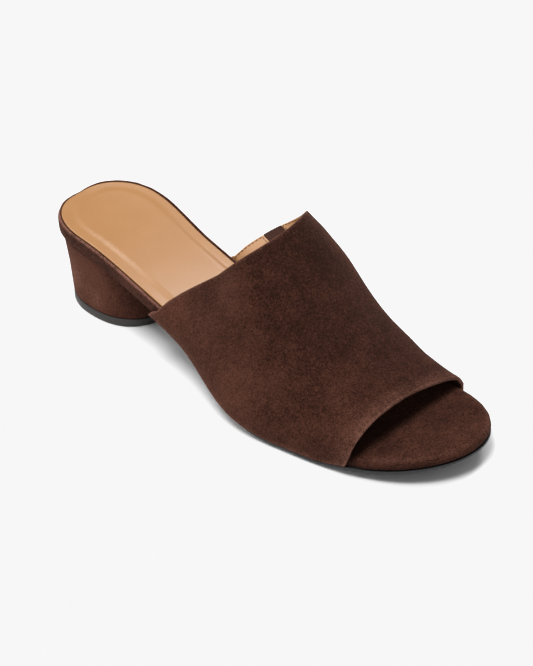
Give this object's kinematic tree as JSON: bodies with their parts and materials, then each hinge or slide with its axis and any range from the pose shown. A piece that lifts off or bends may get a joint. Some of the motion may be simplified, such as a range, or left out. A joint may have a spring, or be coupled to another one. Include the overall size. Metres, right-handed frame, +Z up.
{
  "type": "heeled sandal",
  "caption": "Open-toe, open-back block-heel mule in brown suede with a leather sock; right shoe, standing empty on its heel and tread.",
  "frame": {"origin": "centre of the heel's foot, on the floor", "axes": "+X from heel to toe, +Y to the inner side of the foot, +Z up"},
  "size_m": [0.2502, 0.0931, 0.0804],
  "materials": {
    "suede": "brushed suede, matt",
    "tan_leather": "smooth, soft sheen",
    "sole": "matt",
    "top_piece": "matt",
    "elastic": "ribbed elastic",
    "brass": "polished"
  },
  "bodies": {
    "root": {"upper": "suede", "insole": "suede", "heel": "suede", "sock_lining": "tan_leather", "outsole": "sole", "top_piece": "top_piece", "elastic_gore": "elastic", "stud_back": "brass", "stud_front": "brass"}
  },
  "joints": []
}
